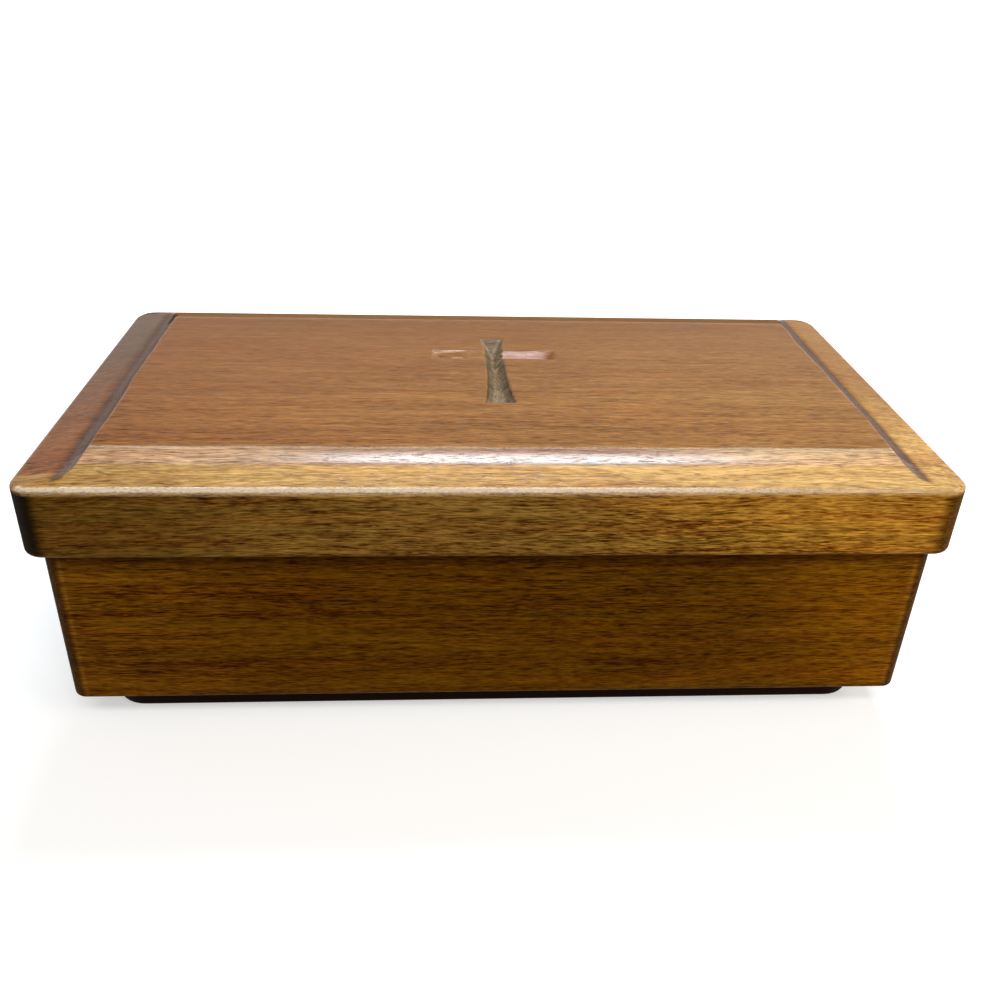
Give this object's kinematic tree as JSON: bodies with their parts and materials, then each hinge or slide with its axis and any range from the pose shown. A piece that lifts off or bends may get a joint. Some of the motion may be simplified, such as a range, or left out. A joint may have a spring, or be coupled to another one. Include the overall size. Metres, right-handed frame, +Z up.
{
  "type": "rosary box",
  "caption": "Low rectangular wooden box with mitred walls, a recessed dark base and a thick overhanging lift-off lid with a raised field and a V-carved cross.",
  "frame": {"origin": "middle of the underside of the base board, on the surface the box stands on", "axes": "+X along the length to the right seen from the front, -Y is the front, +Z up"},
  "size_m": [0.19, 0.101, 0.065],
  "materials": {
    "lid_wood": "stained reddish to golden brown hardwood with fine open pores under satin lacquer",
    "wall_wood": "dark brown stained hardwood with fine open pores under satin lacquer",
    "base_wood": "near-black stained hardwood, satin",
    "batten_wood": "plain sanded hardwood with a thin coat of lacquer",
    "felt": "thin dark red wool felt"
  },
  "bodies": {
    "box": {"front_wall": "wall_wood", "back_wall": "wall_wood", "left_wall": "wall_wood", "right_wall": "wall_wood", "base_board": "base_wood", "felt_lining": "felt"},
    "lid": {"lid_board": "lid_wood", "lid_batten_left": "batten_wood", "lid_batten_right": "batten_wood"}
  },
  "joints": [
    {"name": "lid_lift", "type": "slide", "parent": "box", "child": "lid", "axis": [0, 0, 1], "range_m": [0, 0.07]}
  ]
}
